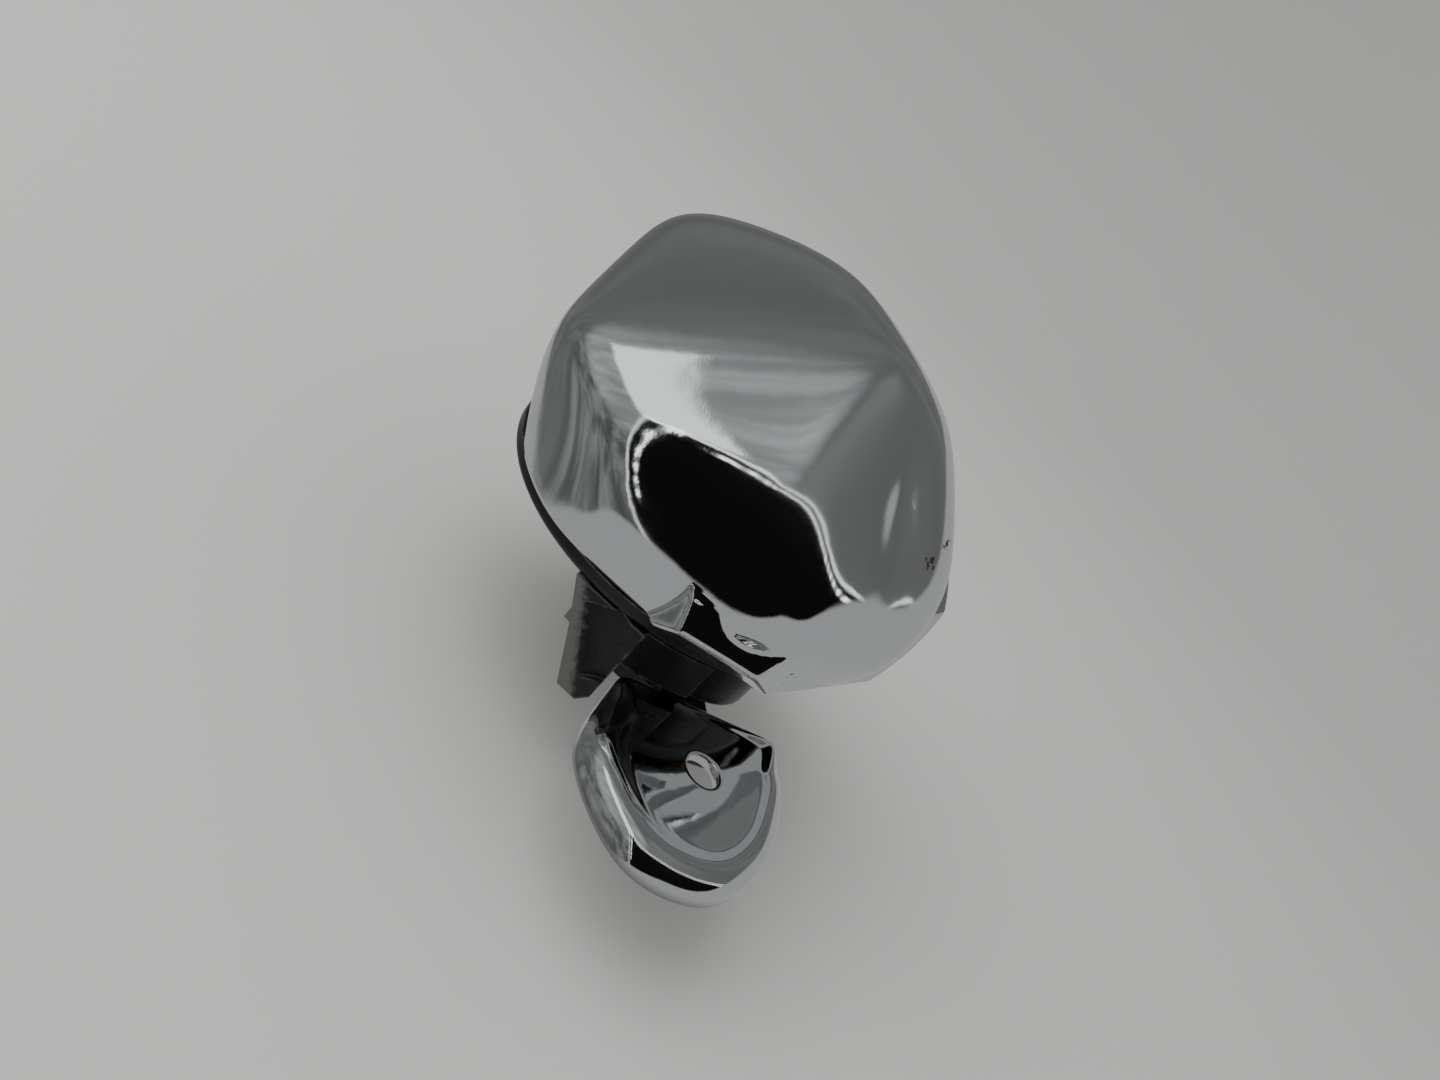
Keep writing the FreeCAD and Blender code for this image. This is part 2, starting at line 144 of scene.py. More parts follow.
def makeWearAndHighlightGroup():
    # bright edges where the rounded normal leaves the flat one: real wear, and on the black casting also a
    # painted highlight along each fold
    group, start, end = shaderGroup(
        "edgeWearAndHighlight",
        [("Place", "NodeSocketVector", None), ("Radius", "NodeSocketFloat", 0.0006),
         ("Amount", "NodeSocketFloat", 0.6), ("Scale", "NodeSocketFloat", 500.0)],
        [("Mask", "NodeSocketFloat")])
    bevel = add(group, "ShaderNodeBevel", samples=4)
    join(group, start.outputs["Radius"], bevel.inputs["Radius"])
    flat = add(group, "ShaderNodeNewGeometry")
    dot = add(group, "ShaderNodeVectorMath", operation="DOT_PRODUCT")
    join(group, bevel.outputs["Normal"], dot.inputs[0])
    join(group, flat.outputs["Normal"], dot.inputs[1])
    edge = ramp(group, dot.outputs["Value"], 0.80, 0.99, 1.0, 0.0)
    noise = add(group, "ShaderNodeTexNoise", {"Detail": 5.0, "Roughness": 0.7})
    join(group, start.outputs["Place"], noise.inputs["Vector"])
    join(group, start.outputs["Scale"], noise.inputs["Scale"])
    broken = ramp(group, noise.outputs["Fac"], 0.38, 0.62)
    mask = maths(group, "MULTIPLY", edge, broken)
    join(group, maths(group, "MULTIPLY", mask, start.outputs["Amount"]), end.inputs["Mask"])
    return group


spots = makeSpotGroup()
grain = makeGrainGroup()
wearAndHighlight = makeWearAndHighlightGroup()


def useGroup(tree, group, values=None, links=None):
    node = add(tree, "ShaderNodeGroup", node_tree=group)
    for key, value in (values or {}).items():
        node.inputs[key].default_value = value
    for key, value in (links or {}).items():
        join(tree, value, node.inputs[key])
    return node


def startMaterial(name, color, metallic, rough):
    mat = bpy.data.materials.new(name)
    mat.use_nodes = True
    tree = mat.node_tree
    tree.nodes.clear()
    out = tree.nodes.new("ShaderNodeOutputMaterial")
    shader = tree.nodes.new("ShaderNodeBsdfPrincipled")
    shader.inputs["Base Color"].default_value = (*color, 1)
    shader.inputs["Metallic"].default_value = metallic
    shader.inputs["Roughness"].default_value = rough
    join(tree, shader.outputs[0], out.inputs["Surface"])
    place = tree.nodes.new("ShaderNodeTexCoord").outputs["Object"]
    return mat, tree, shader, place


def mixColor(tree, mask, a, b):
    node = add(tree, "ShaderNodeMix", data_type="RGBA")
    for spot, value in ((6, a), (7, b)):
        if isinstance(value, tuple):
            node.inputs[spot].default_value = (*value, 1)
        else:
            join(tree, value, node.inputs[spot])
    join(tree, mask, node.inputs[0])
    return node.outputs[2]


def mixValue(tree, mask, a, b):
    node = add(tree, "ShaderNodeMix", {2: a, 3: b})
    join(tree, mask, node.inputs[0])
    return node.outputs[0]


# each chip or pit: centre and reach in mm, scale of its ragged edge, and how thickly it covers
chromeLook = {
    "color": (0.71, 0.72, 0.735), "roughness": 0.035, "cloudRoughness": 0.10,
    "underCoat": (0.045, 0.038, 0.032), "underRoughness": 0.65, "underMetallic": 0.15,
    "fineDepth": 0.012, "waveDepth": 0.05, "waveScale": 70.0,
    "dullColor": (0.33, 0.34, 0.34), "dullRoughness": 0.34,
    "chips": (((28.6, -28.8, 46.4), 4.6, 700.0, 0.60), ((27.6, -33.2, 43.8), 4.4, 800.0, 0.60),
              ((24.0, -26.0, 51.5), 2.4, 900.0, 0.56)),
    "pits": (((24.0, -47.0, 22.5), 9.0, 1500.0, 0.42), ((30.0, -38.0, 24.0), 6.0, 1500.0, 0.40)),
}


def mixInto(tree, mask, source, value):
    # the source where the mask is 0, one fixed value where it is 1
    node = add(tree, "ShaderNodeMix", {3: value})
    join(tree, mask, node.inputs[0])
    join(tree, source, node.inputs[2])
    return node.outputs[0]


def chromeMaterial(name, look, chips, pits, dullBelow=None):
    mat, tree, shader, place = startMaterial(name, look["color"], 1.0, look["roughness"])
    waves = {"Fine depth": look["fineDepth"], "Wave depth": look["waveDepth"],
             "Wave scale": look["waveScale"]}
    skin = useGroup(tree, grain, waves, {"Place": place})
    mask = None
    for point, reach, scale, cover in chips + pits:
        patch = {"Centre": Vector(point) * mm, "Reach": reach * mm, "Scale": scale, "Cover": cover}
        one = useGroup(tree, spots, patch, {"Place": place}).outputs["Mask"]
        mask = one if mask is None else maths(tree, "MAXIMUM", mask, one)
    cloud = ramp(tree, skin.outputs["Cloud"], 0.35, 0.75)
    rough = mixValue(tree, cloud, look["roughness"], look["cloudRoughness"])
    color = None
    if dullBelow:
        split = add(tree, "ShaderNodeSeparateXYZ")
        join(tree, place, split.inputs[0])
        low = ramp(tree, split.outputs["Z"], dullBelow[0] * mm, dullBelow[1] * mm, 1.0, 0.0)
        rough = mixInto(tree, low, rough, look["dullRoughness"])
        color = mixColor(tree, low, look["color"], look["dullColor"])
    color = mixColor(tree, mask, color or look["color"], look["underCoat"])
    rough = mixInto(tree, mask, rough, look["underRoughness"])
    join(tree, mixValue(tree, mask, 1.0, look["underMetallic"]), shader.inputs["Metallic"])
    join(tree, color, shader.inputs["Base Color"])
    join(tree, rough, shader.inputs["Roughness"])
    join(tree, skin.outputs["Normal"], shader.inputs["Normal"])
    return mat


def castingMaterial(name, look, rim=None):
    color, rough = look["color"], look["rough"]
    mat, tree, shader, place = startMaterial(name, color, look.get("metallic", 0.0), rough)
    fine = {"Fine depth": look["depth"], "Fine scale": 1800.0, "Wave depth": 0.03}
    skin = useGroup(tree, grain, fine, {"Place": place})
    # edge mask: real wear, and on the black casting a painted highlight along the folds
    mask = useGroup(tree, wearAndHighlight, {"Amount": look["amount"]}, {"Place": place}).outputs["Mask"]
    if rim:
        # paint rubbed off along one outer edge
        off = add(tree, "ShaderNodeVectorMath", {1: rim["across"]}, operation="DOT_PRODUCT")
        join(tree, place, off.inputs[0])
        mottle = add(tree, "ShaderNodeTexNoise", {"Scale": 900.0, "Detail": 4.0, "Roughness": 0.65})
        join(tree, place, mottle.inputs["Vector"])
        ragged = maths(tree, "SUBTRACT", mottle.outputs["Fac"], 0.5)
        ragged = maths(tree, "MULTIPLY", ragged, rim["ragged"] * mm)
        gap = maths(tree, "ADD", maths(tree, "SUBTRACT", off.outputs["Value"], rim["from"] * mm), ragged)
        split = add(tree, "ShaderNodeSeparateXYZ")
        join(tree, place, split.inputs[0])
        band = ramp(tree, gap, rim["width"] * 0.3 * mm, rim["width"] * mm, 0.8, 0.0)
        start, stop = rim["fade"]
        band = maths(tree, "MULTIPLY", band, ramp(tree, split.outputs["Y"], start * mm, stop * mm, 1.0, 0.0))
        mask = maths(tree, "MAXIMUM", mask, band)
    # edges and the rubbed rim take the light edge colour: wear, and on the black casting a painted highlight
    # along the folds
    join(tree, mixColor(tree, mask, color, look["wornAndHighlight"]), shader.inputs["Base Color"])
    join(tree, mixValue(tree, mask, rough, 0.42), shader.inputs["Roughness"])
    join(tree, skin.outputs["Normal"], shader.inputs["Normal"])
    return mat


gongChrome = chromeMaterial("chromeGong", chromeLook, chromeLook["chips"], chromeLook["pits"])
leverMarks = {
    "scuffs": (((8.5, -62.0, 3.0), 7.0, 900.0, 0.46), ((17.0, -72.5, 3.0), 6.0, 1000.0, 0.45)),
    "pits": (((33.5, -46.0, 6.0), 6.0, 1500.0, 0.40),),
    "dullBelow": (1.6, 3.6),
}
leverChrome = chromeMaterial(
    "chromeLever", chromeLook, leverMarks["scuffs"], leverMarks["pits"], leverMarks["dullBelow"])

# amount is how much the edges are worn and, on the black casting, also lit by a painted highlight; depth how
# strong the fine grain is
castLooks = {
    # the light edge colour and high amount here are partly wear and partly a painted highlight along the
    # folds
    "blackCasting": {
        "color": (0.009, 0.009, 0.009), "rough": 0.34, "wornAndHighlight": (0.15, 0.147, 0.142), "amount": 0.85,
        "depth": 0.35},
    "blackSheet": {
        "color": (0.012, 0.012, 0.0125), "rough": 0.38, "wornAndHighlight": (0.22, 0.22, 0.22), "amount": 0.75,
        "depth": 0.12},
    "plainSteel": {
        "color": (0.42, 0.42, 0.42), "rough": 0.32, "wornAndHighlight": (0.6, 0.6, 0.6), "amount": 0.4, "depth": 0.05,
        "metallic": 1.0},
    "springSteel": {
        "color": (0.16, 0.16, 0.165), "rough": 0.35, "wornAndHighlight": (0.4, 0.4, 0.4), "amount": 0.2, "depth": 0.05,
        "metallic": 1.0},
    "stampedBrass": {
        "color": (0.55, 0.38, 0.14), "rough": 0.3, "wornAndHighlight": (0.7, 0.55, 0.25), "amount": 0.3, "depth": 0.06,
        "metallic": 1.0},
    "blackRubber": {
        "color": (0.016, 0.016, 0.016), "rough": 0.75, "wornAndHighlight": (0.05, 0.05, 0.05), "amount": 0.2,
        "depth": 0.2},
}
# the rubbed edge of the housing: the way across it, where it begins, and where it fades along y
cheekRim = {
    "across": (0.873, 0.0, 0.488), "from": -0.15, "width": 2.6, "ragged": 3.0, "fade": (-50.5, -49.5),
}
blackCast = castingMaterial("blackCasting", castLooks["blackCasting"], cheekRim)
blackSheet = castingMaterial("blackSheet", castLooks["blackSheet"])
plainSteel = castingMaterial("plainSteel", castLooks["plainSteel"])
darkSteel = castingMaterial("springSteel", castLooks["springSteel"])
brass = castingMaterial("stampedBrass", castLooks["stampedBrass"])
rubber = castingMaterial("blackRubber", castLooks["blackRubber"])
print("materials made")


# mesh helper
def gridPiece(name, rows, material, flip=False):
    # rows of equal length, each a closed ring; joined in order, a single point closes an end
    verts = []
    faces = []
    starts = []
    for row in rows:
        starts.append((len(verts), len(row)))
        verts.extend(row)
    for (a, na), (b, nb) in zip(starts, starts[1:]):
        n = max(na, nb)
        for i in range(n):
            j = (i + 1) % n
            if nb == 1:
                faces.append((a + i, a + j, b))
            elif na == 1:
                faces.append((a, b + j, b + i))
            else:
                faces.append((a + i, a + j, b + j, b + i))
    if flip:
        faces = [f[::-1] for f in faces]
    mesh = bpy.data.meshes.new(name)
    mesh.from_pydata([Vector(v) * mm for v in verts], [], faces)
    mesh.polygons.foreach_set("use_smooth", [True] * len(mesh.polygons))
    mesh.materials.append(material)
    mesh.update()
    obj = bpy.data.objects.new(name, mesh)
    bpy.context.scene.collection.objects.link(obj)
    return obj


# gong shell
# facets: turn and tilt in degrees, and distance from the centre in mm
gong = {
    "centre": (0.0, -22.0, 24.0), "rim": 18.3, "wall": 1.5, "sharp": 20.0,
    "around": 560, "up": 118, "upInside": 24, "lipDrop": 0.12,
    "facets": (
        (40, 68, 36.6), (-135, 58, 34.6), (-103, 47, 33.9), (-43, 42, 33.8),
        (17, 40, 35.0), (85, 46, 35.0), (132, 56, 43.4), (-172, 2, 37.8),
        (-127, -12, 35.3), (-88, 13, 34.6), (-38, 9, 36.3), (5, 8, 35.8),
        (45, 4, 35.0), (95, 4, 36.0), (140, 4, 37.5), (-90, -22, 31.8),
        (-45, -30, 29.6), (-5, -22, 32.8), (50, -22, 32.0), (120, -22, 32.5),
        (-160, -24, 33.2),
    ),
    "dish": (20.3, -36.4, 46.5), "dishAxis": (0.59, -0.395, -0.705), "dishSide": (0.663, 0.735, 0.143),
    "dishSize": (9.0, 4.2), "dishDepth": 1.3,
    "flatTurn": -70.0, "flatTop": 26.6, "flatEdge": (36.8, 22.2), "flatSlopes": (0.424, 1.077),
    "flatEnds": ((-5.4, 2.0), (6.5, 0.875)), "flatLift": 0.7, "topDrop": 1.8, "topSlope": 2.2,
    "blend": 4.0, "crease": 12.0,
}


def gongPlanes(inset):
    table = np.array(gong["facets"], float)
    az, el = np.radians(table[:, 0]), np.radians(table[:, 1])
    normal = np.stack([np.cos(az) * np.cos(el), np.sin(az) * np.cos(el), np.sin(el)], 1)
    return normal / (table[:, 2] - inset)[:, None]


def gongReach(planes, direction):
    push = np.maximum(direction @ planes.T, 0)
    return (push ** gong["sharp"]).sum(-1) ** (-1 / gong["sharp"])


def gongRows(inset, around, up):
    planes = gongPlanes(inset)
    centre = np.array(gong["centre"])
    turn = np.linspace(0, 2 * np.pi, around, endpoint=False)
    flat = np.stack([np.cos(turn), np.sin(turn)], 1)
    low, high = np.full(around, -1.0), np.full(around, 1.0)
    for _ in range(40):
        mid = (low + high) / 2
        ray = np.concatenate([flat * np.cos(mid)[:, None], np.sin(mid)[:, None]], 1)
        level = centre[2] + gongReach(planes, ray) * ray[:, 2]
        below = level < gong["rim"]
        low, high = np.where(below, mid, low), np.where(below, high, mid)
    rows = []
    for k in range(up):
        lift = low + (np.pi / 2 - low) * k / up
        ray = np.concatenate([flat * np.cos(lift)[:, None], np.sin(lift)[:, None]], 1)
        rows.append(centre + gongReach(planes, ray)[:, None] * ray)
    peak = centre + gongReach(planes, np.array([[0, 0, 1.0]]))[:, None] * np.array([[0, 0, 1.0]])
    return rows + [peak]


def shapeGong(rows):
    # presses the oval dish and raises the flat beside the lever
    turn = math.radians(gong["flatTurn"])
    out = np.array([math.cos(turn), math.sin(turn)])
    side = np.array([-out[1], out[0]])
    axis = np.array(gong["centre"][:2])
    shaped = []
    for row in rows:
        row = row.copy()
        off = row - np.array(gong["dish"])
        u = off @ np.array(gong["dishAxis"]) / gong["dishSize"][0]
        v = off @ np.array(gong["dishSide"]) / gong["dishSize"][1]
        depth = gong["dishDepth"] * np.exp(-u * u - v * v)
        inward = row[:, :2] - axis
        inward = inward / np.maximum(np.linalg.norm(inward, axis=1, keepdims=True), 1e-6)
        row[:, :2] -= inward * depth[:, None]
        flat = row[:, :2] - axis
        n, t = flat @ out, flat @ side
        edge, level = gong["flatEdge"]
        (left, leftSlope), (right, rightSlope) = gong["flatEnds"]
        high = row[:, 2]
        sides = (edge - (high - level) * gong["flatSlopes"][0],
                 edge - (level - high) * gong["flatSlopes"][1],
                 edge + gong["flatLift"] - (left - t) * leftSlope,
                 edge + gong["flatLift"] - (t - right) * rightSlope,
                 edge - gong["topDrop"] - (high - gong["flatTop"]) * gong["topSlope"])
        front = edge - np.log(sum(np.exp(-gong["blend"] * (one - edge)) for one in sides)) / gong["blend"]
        lift = np.where(n > 0, np.clip(front - n, -2.0, 8.0), -2.0)
        lift = np.log(1 + np.exp(gong["crease"] * lift)) / gong["crease"]
        row[:, :2] += out * np.where(lift > 0.002, lift, 0)[:, None]
        shaped.append(row)
    return shaped


outer = shapeGong(gongRows(0.0, gong["around"], gong["up"]))
inner = gongRows(gong["wall"], gong["around"], gong["upInside"])
lip = (outer[0] + inner[0]) / 2 - [0, 0, gong["lipDrop"]]
gongShell = gridPiece("gongShell", inner[::-1] + [lip] + outer, gongChrome)
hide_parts("gong_dome")
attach(gongShell, "base")
print("gong shell", len(gongShell.data.polygons))

# thumb pad
pad = {
    "corners": ((5.6, -51.5), (8.0, -66.4), (21.2, -75.6), (33.2, -71.4),
                (38.2, -59.4), (36.4, -45.2), (30.8, -37.4)),
    "hole": (23.3, -54.9), "holeRadius": 2.75, "around": 360, "top": 6.5, "under": 4.4, "foot": 1.32,
    "roll": 3.7, "thinRoll": 0.35, "dish": 0.35, "reachBlur": (6, 2.2), "thinFade": (0.10, 0.42),
}


def padReach():
    # distance from the hole to the outline, all the way round
    pts = [np.array(p) for p in pad["corners"]]
    ends = [2 * pts[0] - pts[1]] + pts + [2 * pts[-1] - pts[-2]]
    line = []
    for a, b, c, d in zip(ends, ends[1:], ends[2:], ends[3:]):
        for s in np.linspace(0, 1, 60, endpoint=False):
            bend = (2 * a - 5 * b + 4 * c - d) * s ** 2
            line.append(0.5 * (2 * b + (c - a) * s + bend + (3 * b - a - 3 * c + d) * s ** 3))
    chord = [pts[-1] + (pts[0] - pts[-1]) * s for s in np.linspace(0, 1, 200)]
    line = np.array(line + chord) - np.array(pad["hole"])
    angle = np.arctan2(line[:, 1], line[:, 0])
    order = np.argsort(angle)
    turn = np.linspace(-np.pi, np.pi, pad["around"], endpoint=False)
    reach = np.interp(turn, angle[order], np.linalg.norm(line, axis=1)[order], period=2 * np.pi)
    span, spread = pad["reachBlur"]
    kernel = np.exp(-(np.arange(-span, span + 1) / spread) ** 2)
    wrapped = np.concatenate([reach[-span:], reach, reach[:span]])
    reach = np.convolve(wrapped, kernel / kernel.sum(), "valid")
    # the edge is thin on the side of the gong and full on the others
    first, last = (np.arctan2(p[1] - pad["hole"][1], p[0] - pad["hole"][0]) for p in (pts[-1], pts[0]))
    middle = (first + last) / 2
    away = np.abs(np.angle(np.exp(1j * (turn - middle))))
    half = (last - first) / 2
    early, width = pad["thinFade"]
    full = np.clip((away - half + early) / width, 0, 1)
    return turn, reach, full * full * (3 - 2 * full)


def padRows():
    turn, reach, full = padReach()
    ring = np.stack([np.cos(turn), np.sin(turn)], 1)
    top, under, foot = pad["top"], pad["under"], pad["foot"]

    def row(insetFull, zFull, insetThin, zThin):
        r = reach - (insetFull * full + insetThin * (1 - full))
        z = zFull * full + zThin * (1 - full)
        return np.column_stack([np.array(pad["hole"]) + ring * r[:, None], z])

    # from the underside out to the foot, up the rolled edge, over the dished top and down the hole
    rows = [row(2.9, under, 1.6, under), row(2.4, under - 0.3, 1.0, under),
            row(2.2, foot + 0.5, 0.6, under), row(1.8, foot, 0.4, under), row(0.7, foot, 0.3, under),
            row(0.15, foot + 0.3, 0.06, under + 0.08), row(0.0, foot + 0.9, 0.0, under + 0.3)]
    for k in range(11):
        a = math.radians(9 * k)
        big, small = pad["roll"], pad["thinRoll"]
        rows.append(row(big * (1 - math.cos(a)), top - big * (1 - math.sin(a)),
                        small * (1 - math.cos(a)), top - small * (1 - math.sin(a))))
    edge = rows[-1]

    def holeRow(bigger, level):
        around = np.array(pad["hole"]) + ring * (pad["holeRadius"] + bigger)
        return np.column_stack([around, np.full(len(turn), level)])

    holeEdge = holeRow(0.35, top)
    for k in range(1, 25):
        s = k / 24
        mid = edge * (1 - s) + holeEdge * s
        mid[:, 2] = top - pad["dish"] * min(1, s * 5) ** 2 * (3 - 2 * min(1, s * 5))
        rows.append(mid)
    level = top - pad["dish"]
    deep = level - under
    for dr, dz in ((0.2, 0.05), (0.08, 0.15), (0.0, 0.35), (0.0, deep - 0.2), (0.15, deep)):
        rows.append(holeRow(dr, level - dz))
    rows.append(rows[0])
    return rows


thumbPad = gridPiece("thumbPad", padRows(), leverChrome)
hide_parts("thumb_lever")
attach(thumbPad, "lever")
print("thumb pad", len(thumbPad.data.polygons))

# return spring: a coil swept along a spiral
spring = {"pivot": (11.0, -36.0, 9.0), "radius": 4.4, "wire": 0.45, "turns": 4.0, "height": 4.2}


def springTree():
    tree = bpy.data.node_groups.new("coilSpring", "GeometryNodeTree")
    ids = {}
    for label, kind in (("Turns", "NodeSocketFloat"), ("Radius", "NodeSocketFloat"),
                        ("Wire", "NodeSocketFloat"), ("Height", "NodeSocketFloat"),
                        ("Base", "NodeSocketVector"), ("Material", "NodeSocketMaterial")):
        ids[label] = tree.interface.new_socket(label, in_out="INPUT", socket_type=kind).identifier
    tree.interface.new_socket("Geometry", in_out="OUTPUT", socket_type="NodeSocketGeometry")
    start, end = tree.nodes.new("NodeGroupInput"), tree.nodes.new("NodeGroupOutput")
    coil = add(tree, "GeometryNodeCurveSpiral", {"Resolution": 48})
    join(tree, start.outputs["Turns"], coil.inputs["Rotations"])
    join(tree, start.outputs["Radius"], coil.inputs["Start Radius"])
    join(tree, start.outputs["Radius"], coil.inputs["End Radius"])
    join(tree, start.outputs["Height"], coil.inputs["Height"])
    ring = add(tree, "GeometryNodeCurvePrimitiveCircle", {"Resolution": 12})
    join(tree, start.outputs["Wire"], pick(ring.inputs, "Radius"))
    wire = add(tree, "GeometryNodeCurveToMesh", {"Fill Caps": True})
    join(tree, coil.outputs["Curve"], wire.inputs["Curve"])
    join(tree, ring.outputs["Curve"], wire.inputs["Profile Curve"])
    move = add(tree, "GeometryNodeTransform")
    join(tree, wire.outputs["Mesh"], move.inputs["Geometry"])
    join(tree, start.outputs["Base"], move.inputs["Translation"])
    real = add(tree, "GeometryNodeRealizeInstances")
    join(tree, move.outputs["Geometry"], real.inputs["Geometry"])
    paint = add(tree, "GeometryNodeSetMaterial")
    join(tree, real.outputs["Geometry"], paint.inputs["Geometry"])
    join(tree, start.outputs["Material"], paint.inputs["Material"])
    join(tree, paint.outputs["Geometry"], end.inputs["Geometry"])
    return tree, ids


coilTree, ids = springTree()
holder = bpy.data.objects.new("coilSource", bpy.data.meshes.new("coilSource"))
bpy.context.scene.collection.objects.link(holder)
mod = holder.modifiers.new("coil", "NODES")
mod.node_group = coilTree
x, y, z = spring["pivot"]
for label, value in (("Turns", spring["turns"]), ("Radius", spring["radius"] * mm),
                     ("Wire", spring["wire"] * mm), ("Height", spring["height"] * mm),
                     ("Base", (x * mm, y * mm, z * mm)), ("Material", darkSteel)):
    mod[ids[label]] = value
holder.update_tag()
bpy.context.view_layer.update()
made = bpy.data.meshes.new_from_object(holder.evaluated_get(bpy.context.evaluated_depsgraph_get()))
holder.modifiers.remove(mod)
bpy.data.objects.remove(holder)
made.polygons.foreach_set("use_smooth", [True] * len(made.polygons))
returnSpring = bpy.data.objects.new("returnSpring", made)
bpy.context.scene.collection.objects.link(returnSpring)
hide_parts("lever_spring")
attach(returnSpring, "base")
print("return spring", len(made.polygons))

# finishes on the remaining CAD nodes
finishes = {
    "chrome_gong": gongChrome, "chrome_lever": leverChrome, "zinc_boss": plainSteel,
    "black_tray": blackSheet, "black_casting": blackCast, "black_arm": blackSheet,
    "liner_rubber": rubber, "steel": plainSteel, "spring_steel": darkSteel, "brass_gears": brass,
}
slots = {s["node"]: s["material_slot"] for s in frame["record"]["subparts"]}
for name, node in nodes.items():
    node.data.materials.clear()
    node.data.materials.append(finishes[slots[name]])

# floor, light, surroundings
room = {
    "right": (0.7414, 0.3095, 0.608), "away": (-0.4635, 0.8825, 0.116), "up": (-0.5007, -0.3587, 0.793),
    "floorZ": -15.2, "floor": (0.62, 0.62, 0.605), "flatOut": 0.45, "bowl": 1.1, "bowlHeight": 0.75,
    "pale": 0.62, "dark": 0.006, "wall": 0.17, "back": 0.16, "roof": 0.40, "patch": 1.3, "ground": 0.40,
    "patchAt": (0.085, 0.10), "patchSize": (0.075, 0.30),
    "leftEdge": (0.82, -0.556, -0.138), "rightEdge": (0.303, 0.898, 0.318),
    "leftLights": (0.05, 0.014), "rightLights": (-0.055, 0.022), "lightCount": 95.0, "lightGlow": 2.4,
    "leftHem": (-0.012, 0.014, 0.35), "rightHem": (0.012, 0.018, 0.5),
}


def frameVector(parts):
    # a direction given as right, away, up in the room, turned into the bell's own axes
    axes = (room["right"], room["away"], room["up"])
    return tuple(sum(amount * axis[k] for amount, axis in zip(parts, axes)) for k in range(3))


def makeFloor():
    # a flat sheet that rises into a shallow bowl, so that no edge of it is seen
    rows = []
    level = room["floorZ"]
    rings, around = 40, 96
    turn = np.linspace(0, 2 * np.pi, around, endpoint=False)
    for k in range(rings):
        s = k / (rings - 1)
        r = 0.05 + (room["flatOut"] + room["bowl"]) * s
        rise = max(0.0, (r - room["flatOut"]) / room["bowl"])
        z = room["bowlHeight"] * rise ** 2 * 1000 + level
        rows.append(np.stack([r * 1000 * np.cos(turn), r * 1000 * np.sin(turn), np.full(around, z)], 1))
    material = startMaterial("floorSheet", room["floor"], 0.0, 0.7)[0]
    sheet = gridPiece("floorSheet", [np.array([[0, 0, level]])] + rows, material)
    sheet.visible_glossy = False


makeFloor()


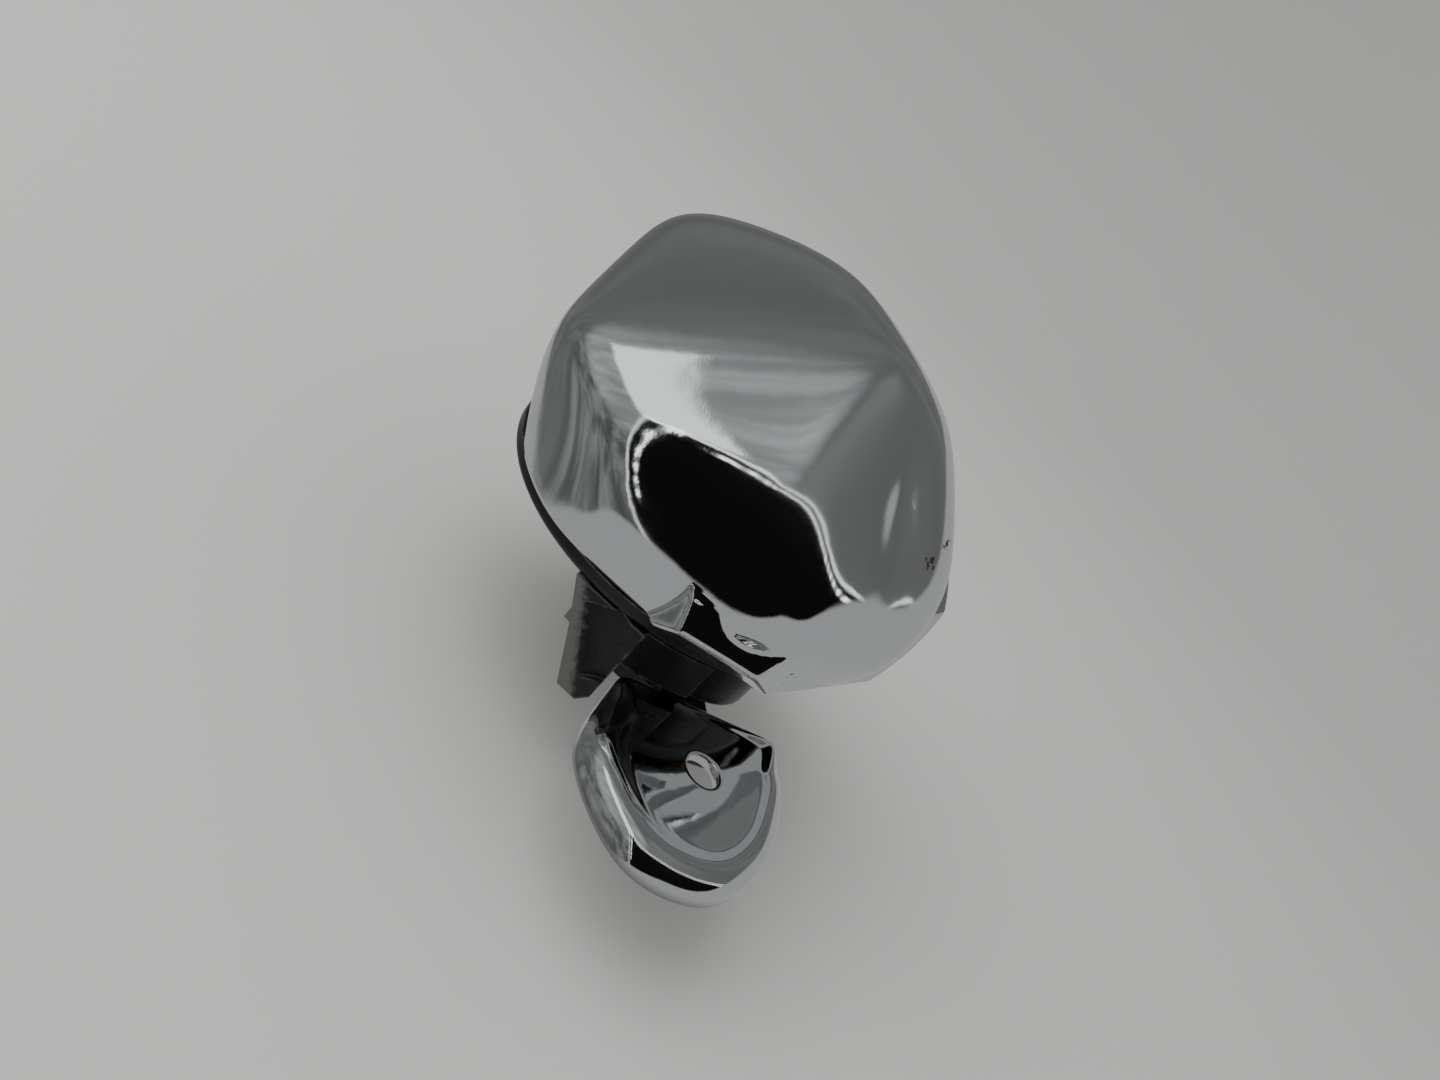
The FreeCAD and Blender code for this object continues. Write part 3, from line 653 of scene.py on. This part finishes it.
def buildWorld():
    world = bpy.data.worlds.new("softTent")
    bpy.context.scene.world = world
    world.use_nodes = True
    tree = world.node_tree
    tree.nodes.clear()
    ray = tree.nodes.new("ShaderNodeTexCoord").outputs["Generated"]

    def toward(vector):
        node = add(tree, "ShaderNodeVectorMath", {1: vector}, operation="DOT_PRODUCT")
        join(tree, ray, node.inputs[0])
        return node.outputs["Value"]

    def blend(mask, a, b):
        node = add(tree, "ShaderNodeMix")
        join(tree, mask, node.inputs[0])
        for spot, value in ((2, a), (3, b)):
            if isinstance(value, float):
                node.inputs[spot].default_value = value
            else:
                join(tree, value, node.inputs[spot])
        return node.outputs[0]

    def noise(scaleXyz, scale, detail):
        stretch = add(tree, "ShaderNodeCombineXYZ")
        for spot, axis, amount in zip(stretch.inputs, (right, away, up), scaleXyz):
            join(tree, maths(tree, "MULTIPLY", axis, amount), spot)
        cloth = add(tree, "ShaderNodeTexNoise", {"Scale": scale, "Detail": detail, "Roughness": 0.5})
        join(tree, stretch.outputs[0], cloth.inputs["Vector"])
        return cloth.outputs["Fac"]

    right, away, up = toward(room["right"]), toward(room["away"]), toward(room["up"])
    front = maths(tree, "MULTIPLY", away, -1.0)
    # the tent opening: dark between two slanting sides, with a row of small lights inside each edge
    leftSide, rightSide = toward(frameVector(room["leftEdge"])), toward(frameVector(room["rightEdge"]))
    rightSide = maths(tree, "SUBTRACT", rightSide, ramp(tree, up, 0.86, 0.98, 0.0, 0.12))
    inside = ramp(tree, leftSide, 0.0, 0.012)
    inside = maths(tree, "MULTIPLY", inside, ramp(tree, rightSide, -0.015, 0.0, 1.0, 0.0))
    inside = maths(tree, "MULTIPLY", inside, ramp(tree, front, 0.17, 0.20))

    def stripe(distance, middle, half):
        off = maths(tree, "ABSOLUTE", maths(tree, "SUBTRACT", distance, middle))
        return ramp(tree, off, half * 0.4, half, 1.0, 0.0)

    bead = maths(tree, "MULTIPLY", maths(tree, "SUBTRACT", right, up), room["lightCount"])
    dots = ramp(tree, maths(tree, "SINE", bead), -0.5, 0.6, 0.15, 1.0)
    rightRow = stripe(rightSide, *room["rightLights"])
    rightRow = maths(tree, "MULTIPLY", rightRow, ramp(tree, leftSide, 0.10, 0.14))
    leftRow = stripe(leftSide, *room["leftLights"])
    leftRow = maths(tree, "MULTIPLY", leftRow, ramp(tree, up, 0.25, 0.32))
    strip = maths(tree, "MULTIPLY", maths(tree, "MAXIMUM", rightRow, leftRow), dots)
    # a bright hem along each edge of the opening
    for distance, (middle, half, glow) in ((rightSide, room["rightHem"]), (leftSide, room["leftHem"])):
        strip = maths(tree, "MAXIMUM", strip, maths(tree, "MULTIPLY", stripe(distance, middle, half), glow))
    strip = maths(tree, "MULTIPLY", strip, ramp(tree, front, 0.17, 0.22))
    strip = maths(tree, "MULTIPLY", strip, ramp(tree, leftSide, -0.03, -0.02))
    strip = maths(tree, "MULTIPLY", strip, ramp(tree, rightSide, 0.03, 0.05, 1.0, 0.0))
    # cloth: upright folds on the walls, brighter soft streaks overhead
    folds = ramp(tree, noise((1.0, 1.0, 0.10), 7.0, 3.0), 0.30, 0.70, 0.55, 1.6)
    calm = ramp(tree, noise((1.0, 1.0, 0.3), 2.2, 1.0), 0.3, 0.7, 0.8, 1.25)
    folds = blend(ramp(tree, right, -0.35, 0.15), folds, calm)
    streaks = ramp(tree, noise((0.5, 3.0, 1.0), 2.6, 2.0), 0.32, 0.68, 0.7, 1.3)
    wall = maths(tree, "MULTIPLY", folds, room["wall"])
    back = maths(tree, "MULTIPLY", ramp(tree, streaks, 0.5, 1.5, 0.85, 1.15), room["back"])
    roof = maths(tree, "MULTIPLY", streaks, room["roof"])
    tone = blend(ramp(tree, away, 0.15, 0.55), wall, back)
    tone = blend(ramp(tree, up, 0.80, 0.93), tone, roof)
    # one bright patch overhead with soft sides
    patch = ramp(tree, up, 0.5, 0.6)
    for axis, middle, half in zip((right, away), room["patchAt"], room["patchSize"]):
        off = maths(tree, "ABSOLUTE", maths(tree, "SUBTRACT", axis, middle))
        patch = maths(tree, "MULTIPLY", patch, ramp(tree, off, half, half + 0.03, 1.0, 0.0))
    tone = blend(patch, tone, room["patch"])
    tone = blend(inside, tone, room["dark"])
    tone = maths(tree, "ADD", tone, maths(tree, "MULTIPLY", strip, room["lightGlow"]))
    # the table reaches a little higher straight in front than at the sides
    edge = maths(tree, "MULTIPLY", ramp(tree, front, 0.3, 0.8), ramp(tree, right, 0.1, 0.7, 1.0, 0.0))
    edge = maths(tree, "SUBTRACT", maths(tree, "MULTIPLY", edge, 0.28), 0.27)
    ground = ramp(tree, maths(tree, "SUBTRACT", up, edge), -0.07, 0.0, 1.0, 0.0)
    tone = blend(ground, tone, room["ground"])
    seen = tree.nodes.new("ShaderNodeLightPath").outputs["Is Glossy Ray"]
    tone = blend(seen, room["pale"], tone)
    sky = add(tree, "ShaderNodeBackground", {"Color": (0.985, 1.0, 0.995, 1)})
    join(tree, tone, sky.inputs["Strength"])
    join(tree, sky.outputs[0], tree.nodes.new("ShaderNodeOutputWorld").inputs["Surface"])


buildWorld()


def softLight(name, place, size, watts):
    data = bpy.data.lights.new(name, "AREA")
    data.shape, data.size, data.energy = "SQUARE", size, watts
    lamp = bpy.data.objects.new(name, data)
    lamp.location = place
    lamp.rotation_mode = "QUATERNION"
    lamp.rotation_quaternion = (Vector((0, -0.02, 0.02)) - Vector(place)).to_track_quat("-Z", "Y")
    lamp.visible_glossy = False
    bpy.context.scene.collection.objects.link(lamp)


softLight("overhead", (-0.35, -0.1, 0.6), 0.7, 3.2)
softLight("leftFill", (-0.6, -0.4, 0.3), 0.6, 1.2)

# camera
view = {"at": (3.0, -179.1, 98.0), "ahead": (0.0, 0.891, -0.454), "roll": 42.6, "lens": 27.05}
ahead = Vector(view["ahead"]).normalized()
levelRight = Vector((1, 0, 0))
levelUp = levelRight.cross(ahead)
roll = math.radians(view["roll"])
right = levelRight * math.cos(roll) + levelUp * math.sin(roll)
up = -levelRight * math.sin(roll) + levelUp * math.cos(roll)
cameraData = bpy.data.cameras.new("photoCamera")
cameraData.lens, cameraData.sensor_width = view["lens"], 36
cameraData.clip_start, cameraData.clip_end = 0.005, 20
camera = bpy.data.objects.new("photoCamera", cameraData)
turned = Matrix((right, up, -ahead)).transposed().to_4x4()
camera.matrix_world = Matrix.Translation(Vector(view["at"]) * mm) @ turned
bpy.context.scene.collection.objects.link(camera)
bpy.context.scene.camera = camera
